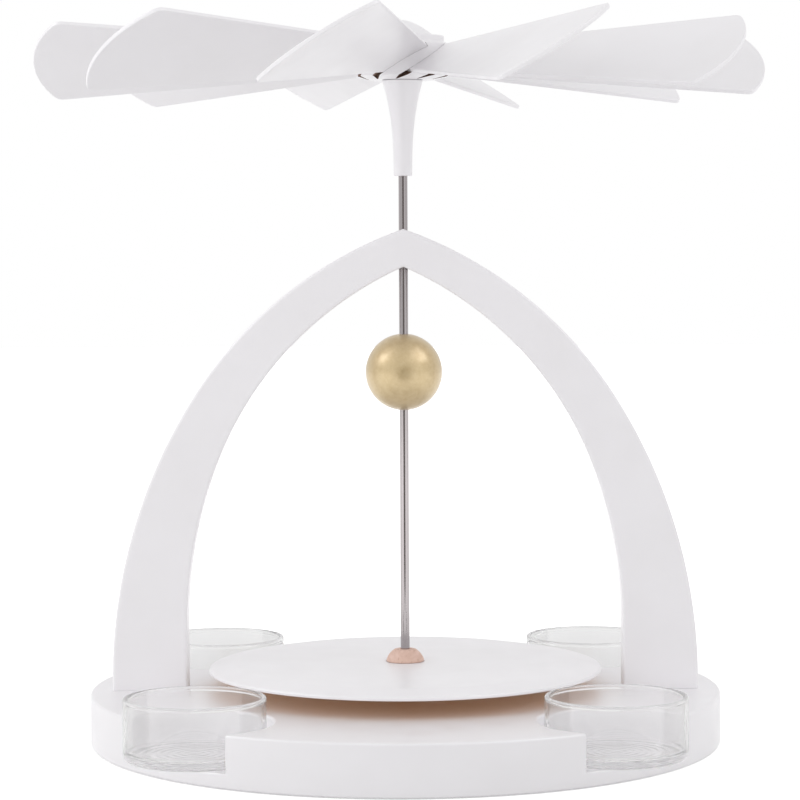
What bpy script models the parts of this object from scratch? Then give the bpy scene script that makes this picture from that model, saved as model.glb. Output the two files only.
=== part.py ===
"""Candle carousel: a wooden wing wheel turns a steel shaft and its platter above four tealight glasses.

Run it with blender --background --python part.py, or from Blender's text editor.
Metres, +Z up. The origin lies on the turning axis at the underside of the base. The arch stands in
the XZ plane, and the front of the object looks along -Y.
"""

import math

import bmesh
import bpy

# Fits and cutting
REST_GAP = 0.0003
RUNNING_GAP = 0.0001
CUT_OVERRUN = 0.003
MERGE_DISTANCE = 0.00001
FLAT_ANGLE = math.radians(0.1)

# Base disc and the pockets for the glasses
BASE_RADIUS = 0.140
BASE_THICKNESS = 0.0225
BASE_EDGE_RADIUS = 0.0012
POCKET_FLOOR = 0.0065
POCKET_CLEARANCE = 0.003
POCKET_INSET = 0.0157
POCKET_BEARINGS = {"back_right": 45, "back_left": 135, "front_left": 225, "front_right": 315}

# Tealight glasses
CUP_RADIUS = 0.030
CUP_HEIGHT = 0.0262
CUP_WALL = 0.0018
CUP_FLOOR = 0.003
CUP_HEEL_RADIUS = 0.0026
CUP_INNER_RADIUS = 0.0022

# Platter, on the turning shaft
PLATTER_TO_CUPS = 0.0068
PLATTER_LIFT = 0.0081
PLATTER_THICKNESS = 0.0037
PLATTER_SHOULDER = 0.0115
PLATTER_SHOULDER_DROP = 0.0019
PLATTER_NOSE = 0.0011
PLATTER_HEEL = 0.0005
BUTTON_RADIUS = 0.0084
BUTTON_TOP_RADIUS = 0.0045
BUTTON_HEIGHT = 0.0055
BUTTON_FOOT = 0.0007
BUTTON_SEAT_DEPTH = 0.0003
BOSS_RADIUS = 0.0085
BOSS_HEIGHT = 0.004

# Arch
ARCH_THICKNESS = 0.015
ARCH_EDGE_RADIUS = 0.0012
ARCH_TO_PLATTER = 0.0093
ARCH_LEG_WIDTH = 0.0334
ARCH_INNER_SPRING = 0.0281
ARCH_INNER_RISE = 0.1878
ARCH_INNER_FLANK_RADIUS = 0.2007
ARCH_INNER_SHOULDER = math.radians(20.9)
ARCH_CROWN = 0.0167
ARCH_OUTER_SPRING = 0.0041
ARCH_OUTER_FLANK_RADIUS = 0.235
ARCH_OUTER_SHOULDER = math.radians(32.7)

# Dowels and screws between the legs and the base
DOWEL_RADIUS = 0.003
DOWEL_INSET = 0.0062
DOWEL_IN_BASE = 0.011
DOWEL_IN_LEG = 0.013
DOWEL_CHAMFER = 0.0006
SCREW_LENGTH = 0.042
SCREW_SINK = 0.001
SCREW_HEAD_RADIUS = 0.004
SCREW_HEAD_HEIGHT = 0.0024
SCREW_HEAD_RIM = 0.0003
SCREW_SHANK_RADIUS = 0.0019
SCREW_TIP_LENGTH = 0.005
SCREW_TIP_RADIUS = 0.0004
RECESS_LENGTH = 0.0042
RECESS_WIDTH = 0.0009
RECESS_DEPTH = 0.0016

# Shaft, its pivot in the base and its guide bush in the crown of the arch
SHAFT_RADIUS = 0.002
SHAFT_POINT_LENGTH = 0.0045
SHAFT_POINT_RADIUS = 0.0002
SHAFT_TOP_CHAMFER = 0.0004
SOCKET_RADIUS = 0.005
SOCKET_DEPTH = 0.011
SOCKET_FLOOR = 0.002
SOCKET_FLANGE_WIDTH = 0.0025
SOCKET_FLANGE_HEIGHT = 0.0012
SOCKET_WALL = 0.0016
PAN_HEIGHT = 0.004
PAN_DIMPLE_DEPTH = 0.0018
PAN_DIMPLE_FLOOR_RADIUS = 0.0005
PAN_LIP = 0.0007
BUSH_WALL = 0.001
BUSH_END_INSET = 0.0018

# Ball
BALL_RADIUS = 0.017
BALL_DROP = 0.0467

# Wing wheel
WHEEL_RISE = 0.0234
STEM_LENGTH = 0.0419
STEM_NECK_WALL = 0.00205
STEM_FLARE = 0.0049
STEM_FLARE_POWER = 2.6
SHAFT_INTO_HUB = 0.0043
SPIGOT_RADIUS = 0.006
SPIGOT_HEIGHT = 0.010
HUB_RADIUS = 0.0204
HUB_HEIGHT = 0.0192
HUB_CHAMFER_WIDTH = 0.0054
HUB_CHAMFER_HEIGHT = 0.0015
HUB_COLLAR_INSET = 0.002
HUB_COLLAR_HEIGHT = 0.0025
HUB_SHOULDER_HEIGHT = 0.0011
SLOT_DEPTH = 0.0084
SLOT_LOWER_REACH = 0.0104
CAP_RADIUS = 0.0137
CAP_HEIGHT = 0.0068
CAP_DOME_POWER = 1.65
CAP_SPIGOT_HEIGHT = 0.005

# Blades
BLADE_COUNT = 10
BLADE_FIRST_BEARING = math.radians(5.3)
BLADE_TILT = math.radians(31.35)
BLADE_RISE = math.radians(0.92)
BLADE_PLANE_HEIGHT = 0.00575
BLADE_LENGTH = 0.1309
BLADE_THICKNESS = 0.0018
BLADE_ROOT_UPPER = 0.0171
BLADE_ROOT_LOWER = 0.0057
BLADE_TIP_WIDTH = 0.0585
BLADE_TIP_BULGE = 0.0104
BLADE_CORNER_RADIUS = 0.0028

# Facets
DOWEL_SEGMENTS = 12
ROUND_SEGMENTS = 24
RUNNING_SEGMENTS = 32
CUP_SEGMENTS = 32
HUB_SEGMENTS = 48
POCKET_SEGMENTS = 48
PLATE_SEGMENTS = 64
BASE_SEGMENTS = 96
CORNER_STEPS = 2
ROUND_PROFILE = 0.5
ARC_STEPS = 12

# Heights and radii that follow from these
BASE_TOP = BASE_THICKNESS
POCKET_RADIUS = CUP_RADIUS + POCKET_CLEARANCE
POCKET_RING = BASE_RADIUS - POCKET_INSET
POCKET_PLACES = {
    place: (
        POCKET_RING * math.cos(math.radians(degrees)),
        POCKET_RING * math.sin(math.radians(degrees)),
    )
    for place, degrees in POCKET_BEARINGS.items()
}
PLATTER_RADIUS = POCKET_RING - CUP_RADIUS - PLATTER_TO_CUPS
PLATTER_BOTTOM = BASE_TOP + PLATTER_LIFT
PLATTER_TOP = PLATTER_BOTTOM + PLATTER_THICKNESS
PRESSED_BORE = SHAFT_RADIUS + REST_GAP
RUNNING_BORE = SHAFT_RADIUS + RUNNING_GAP
LEG_INNER = PLATTER_RADIUS + ARCH_TO_PLATTER
LEG_OUTER = LEG_INNER + ARCH_LEG_WIDTH
ARCH_FOOT = BASE_TOP + REST_GAP
INNER_APEX = BASE_TOP + ARCH_INNER_RISE
OUTER_APEX = INNER_APEX + ARCH_CROWN
SOCKET_BOTTOM = BASE_TOP - SOCKET_DEPTH
PAN_BOTTOM = SOCKET_BOTTOM + SOCKET_FLOOR + REST_GAP
PAN_TOP = PAN_BOTTOM + PAN_HEIGHT
SHAFT_TIP = PAN_TOP - PAN_DIMPLE_DEPTH + REST_GAP
STEM_BOTTOM = OUTER_APEX + WHEEL_RISE
STEM_TOP = STEM_BOTTOM + STEM_LENGTH
SHAFT_TOP = STEM_TOP + SHAFT_INTO_HUB
HUB_BOTTOM = STEM_TOP + REST_GAP
HUB_TOP = HUB_BOTTOM + HUB_HEIGHT
BLADE_PLANE = HUB_BOTTOM + BLADE_PLANE_HEIGHT
HUB_CORE_RADIUS = HUB_RADIUS - SLOT_DEPTH


def make_collection(name):
    """A new collection in the scene."""
    collection = bpy.data.collections.new(name)
    bpy.context.scene.collection.children.link(collection)
    return collection


def make_finish(name, colour, roughness, metallic=0.0, transmission=0.0):
    """A Principled material with one plain finish."""
    finish = bpy.data.materials.new(name)
    finish.use_nodes = True
    shader = finish.node_tree.nodes["Principled BSDF"]
    shader.inputs["Base Color"].default_value = (*colour, 1.0)
    shader.inputs["Roughness"].default_value = roughness
    shader.inputs["Metallic"].default_value = metallic
    shader.inputs["Transmission Weight"].default_value = transmission
    finish.diffuse_color = (*colour, 1.0)
    return finish


def arc(centre, radius, start, end, steps):
    """Points on a circle from one angle to another, both ends included."""
    turns = [start + (end - start) * i / steps for i in range(steps + 1)]
    return [(centre[0] + radius * math.cos(a), centre[1] + radius * math.sin(a)) for a in turns]


def add_object(name, data, group, finish=None, parent=None):
    """Puts an object with this data in a collection, with its finish and its parent."""
    thing = bpy.data.objects.new(name, data)
    group.objects.link(thing)
    thing.parent = parent
    if finish:
        data.materials.append(finish)
    return thing


def turned(name, profile, segments, group, finish=None, parent=None, closed=False):
    """A solid of revolution about Z. The profile's outer side runs from top to bottom.

    An open profile starts and ends on the axis. A closed one goes round the wall of a ring.
    """
    last = len(profile) - 1
    edges = [(i, i + 1) for i in range(last)] + ([(last, 0)] if closed else [])
    mesh = bpy.data.meshes.new(name)
    mesh.from_pydata([(r, 0.0, z) for r, z in profile], edges, [])
    thing = add_object(name, mesh, group, finish, parent)
    screw = thing.modifiers.new("turning", "SCREW")
    screw.steps = segments
    screw.render_steps = segments
    screw.use_merge_vertices = True
    screw.merge_threshold = MERGE_DISTANCE
    screw.use_smooth_shade = True
    return thing


def plate(name, outline, thickness, group, finish, parent=None):
    """A flat outline in local XY, filled on both sides and as thick as it is told."""
    curve = bpy.data.curves.new(name, "CURVE")
    curve.dimensions = "2D"
    curve.fill_mode = "BOTH"
    curve.extrude = thickness / 2
    spline = curve.splines.new("POLY")
    spline.points.add(len(outline) - 1)
    for point, (x, y) in zip(spline.points, outline):
        point.co = (x, y, 0.0, 1.0)
    spline.use_cyclic_u = True
    return add_object(name, curve, group, finish, parent)


def as_mesh(curve_object):
    """Replaces a filled curve by the same shape as one closed mesh with flat, undivided faces."""
    graph = bpy.context.evaluated_depsgraph_get()
    graph.update()
    mesh = bpy.data.meshes.new_from_object(curve_object.evaluated_get(graph))
    shape = bmesh.new()
    shape.from_mesh(mesh)
    bmesh.ops.remove_doubles(shape, verts=shape.verts, dist=MERGE_DISTANCE)
    bmesh.ops.dissolve_limit(
        shape, angle_limit=FLAT_ANGLE, verts=shape.verts, edges=shape.edges
    )
    bmesh.ops.recalc_face_normals(shape, faces=shape.faces)
    shape.to_mesh(mesh)
    shape.free()
    name, place, parent = curve_object.name, curve_object.matrix_world.copy(), curve_object.parent
    group = curve_object.users_collection[0]
    bpy.data.objects.remove(curve_object)
    thing = bpy.data.objects.new(name, mesh)
    group.objects.link(thing)
    thing.parent = parent
    thing.matrix_world = place
    return thing


def cutter(name, mesh_or_profile, segments=ROUND_SEGMENTS):
    """A tool for Boolean cuts: a ready mesh, or a profile to turn."""
    if isinstance(mesh_or_profile, list):
        tool = turned(name, mesh_or_profile, segments, cutters)
    else:
        tool = add_object(name, mesh_or_profile, cutters)
    tool.hide_render = True
    tool.display_type = "WIRE"
    return tool


def drill(name, radius, bottom, top, x=0.0, y=0.0, segments=ROUND_SEGMENTS):
    """An upright cylinder as a cutter."""
    shape = bmesh.new()
    bmesh.ops.create_cone(
        shape, cap_ends=True, segments=segments, radius1=radius, radius2=radius, depth=top - bottom
    )
    mesh = bpy.data.meshes.new(name)
    shape.to_mesh(mesh)
    shape.free()
    tool = cutter(name, mesh)
    tool.location = (x, y, (top + bottom) / 2)
    return tool


def box_mesh(name, size, centre=(0.0, 0.0, 0.0)):
    """A box of this size with its middle at this place."""
    shape = bmesh.new()
    bmesh.ops.create_cube(shape, size=1.0)
    bmesh.ops.scale(shape, vec=size, verts=shape.verts)
    bmesh.ops.translate(shape, vec=centre, verts=shape.verts)
    mesh = bpy.data.meshes.new(name)
    shape.to_mesh(mesh)
    shape.free()
    return mesh


def cut(thing, tools):
    """Takes each tool's shape out of an object."""
    for tool in tools:
        modifier = thing.modifiers.new(tool.name, "BOOLEAN")
        modifier.operation = "DIFFERENCE"
        modifier.solver = "EXACT"
        modifier.object = tool


def make_base():
    """The round base: a disc with rounded edges, four pockets that break out of its rim, and the
    holes for the pivot, the dowels and the screws."""
    edge = BASE_EDGE_RADIUS
    rim = BASE_RADIUS - edge
    profile = [(0.0, BASE_TOP)]
    profile += arc((rim, BASE_TOP - edge), edge, math.pi / 2, 0.0, CORNER_STEPS)
    profile += arc((rim, edge), edge, 0.0, -math.pi / 2, CORNER_STEPS)
    profile += [(0.0, 0.0)]
    base = turned("base_disc", profile, BASE_SEGMENTS, parts, white)
    above = BASE_TOP + CUT_OVERRUN
    tools = []
    for place, (x, y) in POCKET_PLACES.items():
        tools.append(
            drill(f"pocket_{place}", POCKET_RADIUS, POCKET_FLOOR, above, x, y, POCKET_SEGMENTS)
        )
    tools.append(drill("pivot_hole", SOCKET_RADIUS + REST_GAP, SOCKET_BOTTOM - REST_GAP, above))
    for name, x in leg_dowels().items():
        bottom = BASE_TOP - DOWEL_IN_BASE - REST_GAP
        tools.append(drill(f"base_hole_{name}", DOWEL_RADIUS + REST_GAP, bottom, above, x))
    for side, x in leg_centres().items():
        tool = cutter(f"screw_way_{side}", screw_way())
        tool.location = (x, 0.0, 0.0)
        tools.append(tool)
    cut(base, tools)


def leg_centres():
    """Where the middle of each leg stands along X."""
    middle = LEG_INNER + ARCH_LEG_WIDTH / 2
    return {"left": -middle, "right": middle}


def leg_dowels():
    """Where each dowel stands along X."""
    spread = ARCH_LEG_WIDTH / 2 - DOWEL_INSET
    found = {}
    for side, x in leg_centres().items():
        outward = math.copysign(spread, x)
        found[f"leg_dowel_{side}_inner"] = x - outward
        found[f"leg_dowel_{side}_outer"] = x + outward
    return found


def gothic_side(half_span, spring, apex, flank_radius, shoulder, start):
    """One side of a pointed arch, up to its apex: two arcs that meet smoothly at the shoulder angle.

    The lower arc is upright at the springing, and the upper one has the radius that brings it to
    the apex on the centre line.
    """
    low = (half_span - flank_radius, spring)
    rise = apex - spring
    lean, lift = math.cos(shoulder), math.sin(shoulder)
    shift = (low[0] ** 2 + rise**2 - flank_radius**2) / (
        2 * (rise * lift - flank_radius - low[0] * lean)
    )
    high = (low[0] + shift * lean, low[1] + shift * lift)
    apex_angle = math.atan2(apex - high[1], -high[0])
    points = arc(low, flank_radius, start, shoulder, ARC_STEPS)
    points += arc(high, flank_radius - shift, shoulder, apex_angle, ARC_STEPS)[1:]
    points[-1] = (0.0, apex)
    return points


def make_arch():
    """The pointed arch, cut from one board, with its edges rounded along the faces and its feet
    left square, bored for the bush, the dowels and the screws."""
    outer_spring = BASE_TOP + ARCH_OUTER_SPRING
    start = math.asin((ARCH_FOOT - outer_spring) / ARCH_OUTER_FLANK_RADIUS)
    outer = gothic_side(
        LEG_OUTER, outer_spring, OUTER_APEX, ARCH_OUTER_FLANK_RADIUS, ARCH_OUTER_SHOULDER, start
    )
    inner = gothic_side(
        LEG_INNER, BASE_TOP + ARCH_INNER_SPRING, INNER_APEX, ARCH_INNER_FLANK_RADIUS,
        ARCH_INNER_SHOULDER, 0.0,
    )
    inner = [(LEG_INNER, ARCH_FOOT)] + inner
    outline = outer + [(-x, z) for x, z in reversed(outer[:-1])]
    outline += [(-x, z) for x, z in inner[:-1]] + list(reversed(inner))
    blank = plate("arch", outline, ARCH_THICKNESS, parts, white)
    blank.rotation_euler = (math.pi / 2, 0.0, 0.0)
    arch = as_mesh(blank)
    shape = bmesh.new()
    shape.from_mesh(arch.data)
    near = MERGE_DISTANCE
    rounded = [
        edge
        for edge in shape.edges
        if abs(edge.verts[0].co.z - edge.verts[1].co.z) < near
        and max(vert.co.y for vert in edge.verts) > ARCH_FOOT + near
    ]
    bmesh.ops.bevel(
        shape, geom=rounded, offset=ARCH_EDGE_RADIUS, segments=CORNER_STEPS, profile=ROUND_PROFILE,
        affect="EDGES",
    )
    shape.to_mesh(arch.data)
    shape.free()
    below = ARCH_FOOT - CUT_OVERRUN
    bush_bottom, bush_top = bush_span()
    hole_bottom, hole_top = INNER_APEX - ARCH_CROWN, OUTER_APEX + ARCH_CROWN
    tools = [drill("bush_hole", bush_radius() + REST_GAP, hole_bottom, hole_top)]
    for name, x in leg_dowels().items():
        top = BASE_TOP + DOWEL_IN_LEG + REST_GAP
        tools.append(drill(f"leg_hole_{name}", DOWEL_RADIUS + REST_GAP, below, top, x))
    for side, x in leg_centres().items():
        top = SCREW_SINK + SCREW_LENGTH + REST_GAP
        tools.append(drill(f"pilot_hole_{side}", SCREW_SHANK_RADIUS + REST_GAP, below, top, x))
    cut(arch, tools)
    turned(
        "arch_bush", ring(bush_radius(), RUNNING_BORE, bush_bottom, bush_top),
        RUNNING_SEGMENTS, parts, brass, closed=True,
    )


def bush_radius():
    """The outside of the guide bush."""
    return RUNNING_BORE + BUSH_WALL


def bush_span():
    """The guide bush's two ends, both a little inside the crown."""
    return INNER_APEX + BUSH_END_INSET / 2, OUTER_APEX - BUSH_END_INSET


def ring(outer, inner, bottom, top):
    """The section of a plain ring, outer side first and downwards."""
    return [(outer, top), (outer, bottom), (inner, bottom), (inner, top)]


def make_dowels():
    """Four round dowels with chamfered ends, half in the base and half in the legs."""
    bottom, top = BASE_TOP - DOWEL_IN_BASE, BASE_TOP + DOWEL_IN_LEG
    narrow = DOWEL_RADIUS - DOWEL_CHAMFER
    profile = [
        (0.0, top), (narrow, top), (DOWEL_RADIUS, top - DOWEL_CHAMFER),
        (DOWEL_RADIUS, bottom + DOWEL_CHAMFER), (narrow, bottom), (0.0, bottom),
    ]
    for name, x in leg_dowels().items():
        dowel = turned(name, profile, DOWEL_SEGMENTS, parts, beech)
        dowel.location = (x, 0.0, 0.0)


def screw_way():
    """The hole that a countersunk screw passes through, from the underside of the base to its top."""
    wide, narrow = SCREW_HEAD_RADIUS + REST_GAP, SCREW_SHANK_RADIUS + REST_GAP
    cone_start = SCREW_SINK + SCREW_HEAD_RIM + REST_GAP
    cone_end = cone_start + SCREW_HEAD_HEIGHT
    return [
        (0.0, BASE_TOP + CUT_OVERRUN), (narrow, BASE_TOP + CUT_OVERRUN), (narrow, cone_end),
        (wide, cone_start), (wide, -CUT_OVERRUN), (0.0, -CUT_OVERRUN),
    ]


def make_screws():
    """Two countersunk wood screws, head down, with a cross recess."""
    cone_start = SCREW_SINK + SCREW_HEAD_RIM
    end = SCREW_SINK + SCREW_LENGTH
    profile = [
        (0.0, end), (SCREW_TIP_RADIUS, end), (SCREW_SHANK_RADIUS, end - SCREW_TIP_LENGTH),
        (SCREW_SHANK_RADIUS, cone_start + SCREW_HEAD_HEIGHT), (SCREW_HEAD_RADIUS, cone_start),
        (SCREW_HEAD_RADIUS, SCREW_SINK), (0.0, SCREW_SINK),
    ]
    for side, x in leg_centres().items():
        screw = turned(f"leg_screw_{side}", profile, DOWEL_SEGMENTS, parts, steel)
        screw.location = (x, 0.0, 0.0)
        tools = []
        for arm, turn in (("long", 0.0), ("cross", math.pi / 2)):
            size = (RECESS_LENGTH, RECESS_WIDTH, 2 * RECESS_DEPTH)
            tool = cutter(f"recess_{side}_{arm}", box_mesh(f"recess_{side}_{arm}", size))
            tool.location = (x, 0.0, SCREW_SINK)
            tool.rotation_euler = (0.0, 0.0, turn)
            tools.append(tool)
        cut(screw, tools)


def make_pivot():
    """The flanged socket in the base and the hard pan in it, with a dimple for the shaft's point."""
    bore = SOCKET_RADIUS - SOCKET_WALL
    flange = SOCKET_RADIUS + SOCKET_FLANGE_WIDTH
    flange_bottom = BASE_TOP + REST_GAP
    flange_top = flange_bottom + SOCKET_FLANGE_HEIGHT
    profile = [
        (0.0, SOCKET_BOTTOM + SOCKET_FLOOR), (bore, SOCKET_BOTTOM + SOCKET_FLOOR), (bore, flange_top),
        (flange, flange_top), (flange, flange_bottom), (SOCKET_RADIUS, flange_bottom),
        (SOCKET_RADIUS, SOCKET_BOTTOM), (0.0, SOCKET_BOTTOM),
    ]
    turned("pivot_socket", profile, ROUND_SEGMENTS, parts, brass)
    pan = bore - REST_GAP
    profile = [
        (0.0, PAN_TOP - PAN_DIMPLE_DEPTH), (PAN_DIMPLE_FLOOR_RADIUS, PAN_TOP - PAN_DIMPLE_DEPTH),
        (pan - PAN_LIP, PAN_TOP), (pan, PAN_TOP), (pan, PAN_BOTTOM), (0.0, PAN_BOTTOM),
    ]
    turned("pivot_cup", profile, ROUND_SEGMENTS, parts, steel)


def make_shaft():
    """The steel rod that carries everything that turns, with a point at its foot."""
    profile = [
        (0.0, SHAFT_TOP), (SHAFT_RADIUS - SHAFT_TOP_CHAMFER, SHAFT_TOP),
        (SHAFT_RADIUS, SHAFT_TOP - SHAFT_TOP_CHAMFER), (SHAFT_RADIUS, SHAFT_TIP + SHAFT_POINT_LENGTH),
        (SHAFT_POINT_RADIUS, SHAFT_TIP), (0.0, SHAFT_TIP),
    ]
    turned("shaft", profile, RUNNING_SEGMENTS, parts, steel, spindle)


def make_platter():
    """The platter with its sloping shoulder and round nose, the button let into its top, which is a
    slice of a ball, and the boss under it."""
    nose = (PLATTER_RADIUS - PLATTER_NOSE, PLATTER_TOP - PLATTER_SHOULDER_DROP - PLATTER_NOSE)
    profile = [(PLATTER_RADIUS - PLATTER_SHOULDER, PLATTER_TOP)]
    profile += arc(nose, PLATTER_NOSE, math.pi / 2, 0.0, 2 * CORNER_STEPS)
    heel = (PLATTER_RADIUS - PLATTER_HEEL, PLATTER_BOTTOM + PLATTER_HEEL)
    profile += arc(heel, PLATTER_HEEL, 0.0, -math.pi / 2, CORNER_STEPS)
    seat, seat_radius = PLATTER_TOP - BUTTON_SEAT_DEPTH, BUTTON_RADIUS + REST_GAP
    profile += [(PRESSED_BORE, PLATTER_BOTTOM), (PRESSED_BORE, seat)]
    profile += [(seat_radius, seat), (seat_radius, PLATTER_TOP)]
    turned("platter", profile, PLATE_SEGMENTS, parts, white, spindle, closed=True)

    foot = seat + REST_GAP
    dome = BUTTON_HEIGHT - BUTTON_FOOT
    depth = (BUTTON_RADIUS**2 - BUTTON_TOP_RADIUS**2 - dome**2) / (2 * dome)
    top_angle = math.atan2(dome + depth, BUTTON_TOP_RADIUS)
    foot_angle = math.atan2(depth, BUTTON_RADIUS)
    profile = [(PRESSED_BORE, foot + BUTTON_HEIGHT)]
    profile += arc(
        (0.0, foot + BUTTON_FOOT - depth), math.hypot(depth, BUTTON_RADIUS), top_angle, foot_angle,
        2 * CORNER_STEPS,
    )
    profile += [(BUTTON_RADIUS, foot), (PRESSED_BORE, foot)]
    turned("platter_button", profile, ROUND_SEGMENTS, parts, beech, spindle, closed=True)

    top = PLATTER_BOTTOM - REST_GAP
    section = ring(BOSS_RADIUS, PRESSED_BORE, top - BOSS_HEIGHT, top)
    turned("platter_boss", section, ROUND_SEGMENTS, parts, beech, spindle, closed=True)


def make_ball():
    """The ball, drilled through for the shaft."""
    top_angle = math.acos(PRESSED_BORE / BALL_RADIUS)
    profile = arc((0.0, 0.0), BALL_RADIUS, top_angle, -top_angle, ARC_STEPS)
    ball = turned("ball", profile, RUNNING_SEGMENTS, parts, gold, spindle, closed=True)
    ball.location = (0.0, 0.0, INNER_APEX - BALL_DROP)


def make_stem():
    """The trumpet-shaped stem, bored from below for the shaft, with a spigot that holds the hub."""
    neck = RUNNING_BORE + STEM_NECK_WALL
    bore_end = SHAFT_TOP + REST_GAP
    spigot_top = STEM_TOP + SPIGOT_HEIGHT
    spigot = SPIGOT_RADIUS - REST_GAP
    climb = [i / ARC_STEPS for i in range(ARC_STEPS, -1, -1)]
    flare = [(neck + STEM_FLARE * t**STEM_FLARE_POWER, STEM_BOTTOM + STEM_LENGTH * t) for t in climb]
    profile = [(0.0, spigot_top), (spigot, spigot_top), (spigot, STEM_TOP)]
    profile += flare
    profile += [(RUNNING_BORE, STEM_BOTTOM), (RUNNING_BORE, bore_end), (0.0, bore_end)]
    turned("wheel_stem", profile, RUNNING_SEGMENTS, parts, white, wheel)


def make_hub():
    """The turned hub with its narrower collar and a slanted slot for each blade, and the domed cap
    in its top."""
    collar = HUB_RADIUS - HUB_COLLAR_INSET
    collar_foot = HUB_TOP - HUB_COLLAR_HEIGHT
    profile = [
        (SPIGOT_RADIUS, HUB_TOP), (collar, HUB_TOP), (collar, collar_foot),
        (HUB_RADIUS, collar_foot - HUB_SHOULDER_HEIGHT), (HUB_RADIUS, HUB_BOTTOM + HUB_CHAMFER_HEIGHT),
        (HUB_RADIUS - HUB_CHAMFER_WIDTH, HUB_BOTTOM), (SPIGOT_RADIUS, HUB_BOTTOM),
    ]
    hub = turned("wheel_hub", profile, HUB_SEGMENTS, parts, white, wheel, closed=True)
    reach = SLOT_DEPTH + CUT_OVERRUN
    size = (reach, BLADE_ROOT_UPPER + SLOT_LOWER_REACH, BLADE_THICKNESS + 2 * REST_GAP)
    centre = (HUB_CORE_RADIUS + reach / 2, (BLADE_ROOT_UPPER - SLOT_LOWER_REACH) / 2, 0.0)
    slot = box_mesh("blade_slot", size, centre)
    tools = []
    for number, bearing in blade_bearings():
        tool = cutter(f"slot_{number:02d}", slot)
        place_on_blade_plane(tool, bearing)
        tools.append(tool)
    cut(hub, tools)

    seat = HUB_TOP + REST_GAP
    steps = ARC_STEPS // 2
    shares = [i / steps for i in range(steps + 1)]
    profile = [
        (CAP_RADIUS * share, seat + CAP_HEIGHT * (1 - share**CAP_DOME_POWER)) for share in shares
    ]
    spigot = SPIGOT_RADIUS - REST_GAP
    profile += [(spigot, seat), (spigot, seat - CAP_SPIGOT_HEIGHT), (0.0, seat - CAP_SPIGOT_HEIGHT)]
    turned("hub_cap", profile, ROUND_SEGMENTS, parts, white, wheel)


def blade_bearings():
    """Each blade's number and the angle at which it points out."""
    step = 2 * math.pi / BLADE_COUNT
    return [(i + 1, BLADE_FIRST_BEARING + step * i) for i in range(BLADE_COUNT)]


def place_on_blade_plane(thing, bearing):
    """Puts an object drawn round the turning axis on a blade's tilted plane."""
    thing.location = (0.0, 0.0, BLADE_PLANE)
    thing.rotation_euler = (BLADE_TILT, -BLADE_RISE, bearing)


def blade_half(root_half):
    """Half of a blade's outline, from the root to the middle of the tip. The first coordinate runs
    outwards from the turning axis and the second across the blade."""
    start = HUB_CORE_RADIUS + REST_GAP
    end = HUB_RADIUS + BLADE_LENGTH
    half_tip = BLADE_TIP_WIDTH / 2
    spread = (half_tip - root_half) / BLADE_LENGTH
    tip_radius = (half_tip**2 + BLADE_TIP_BULGE**2) / (2 * BLADE_TIP_BULGE)
    tip_centre = end + BLADE_TIP_BULGE - tip_radius
    corner_angle = math.asin(half_tip / tip_radius)
    bow_angle = corner_angle - BLADE_CORNER_RADIUS / tip_radius
    side_end = (end - BLADE_CORNER_RADIUS, half_tip - spread * BLADE_CORNER_RADIUS)
    bow = arc((tip_centre, 0.0), tip_radius, bow_angle, 0.0, ARC_STEPS // 2)
    steps = 2 * CORNER_STEPS
    corner = []
    for i in range(steps):
        t = i / steps
        weights = ((1 - t) ** 2, 2 * t * (1 - t), t**2)
        trio = (side_end, (end, half_tip), bow[0])
        corner.append(tuple(sum(w * p[axis] for w, p in zip(weights, trio)) for axis in (0, 1)))
    return [(start, root_half - spread * (HUB_RADIUS - start))] + corner + bow


def blade_outline():
    """One blade, seen flat: root edge in the slot, straight sides that spread unevenly, and a bowed
    tip with rounded corners."""
    lower = [(x, -y) for x, y in reversed(blade_half(BLADE_ROOT_LOWER)[:-1])]
    return blade_half(BLADE_ROOT_UPPER) + lower


def make_blades():
    """The flat blades, all alike, each tilted in its slot."""
    outline = blade_outline()
    for number, bearing in blade_bearings():
        blade = plate(f"blade_{number:02d}", outline, BLADE_THICKNESS, parts, white, wheel)
        place_on_blade_plane(blade, bearing)


def make_cups():
    """Four glasses, each standing in its pocket."""
    inner = CUP_RADIUS - CUP_WALL
    lip = CUP_WALL / 2
    profile = [(0.0, CUP_FLOOR)]
    corner, heel = CUP_INNER_RADIUS, CUP_HEEL_RADIUS
    profile += arc((inner - corner, CUP_FLOOR + corner), corner, -math.pi / 2, 0.0, CORNER_STEPS)
    profile += arc((CUP_RADIUS - lip, CUP_HEIGHT - lip), lip, math.pi, 0.0, 2 * CORNER_STEPS)
    profile += arc((CUP_RADIUS - heel, heel), heel, 0.0, -math.pi / 2, CORNER_STEPS)
    profile += [(0.0, 0.0)]
    for place, (x, y) in POCKET_PLACES.items():
        cup = turned(f"glass_cup_{place}", profile, CUP_SEGMENTS, parts, glass)
        cup.location = (x, y, POCKET_FLOOR + REST_GAP)


for old in list(bpy.data.objects):
    bpy.data.objects.remove(old)
parts = make_collection("candle_carousel")
cutters = make_collection("cutters")
white = make_finish("white_lacquer", (0.86, 0.85, 0.86), 0.38)
beech = make_finish("natural_beech", (0.72, 0.52, 0.40), 0.6)
brass = make_finish("brass", (0.72, 0.56, 0.28), 0.3, metallic=1.0)
steel = make_finish("ground_steel", (0.58, 0.57, 0.56), 0.28, metallic=1.0)
gold = make_finish("satin_gold", (0.62, 0.50, 0.26), 0.36, metallic=1.0)
glass = make_finish("clear_glass", (0.95, 0.97, 0.97), 0.03, transmission=1.0)
spindle = add_object("spindle_axis", None, parts)
wheel = add_object("wing_wheel_axis", None, parts, parent=spindle)

make_base()
make_arch()
make_dowels()
make_screws()
make_pivot()
make_shaft()
make_platter()
make_ball()
make_stem()
make_hub()
make_blades()
make_cups()
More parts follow.
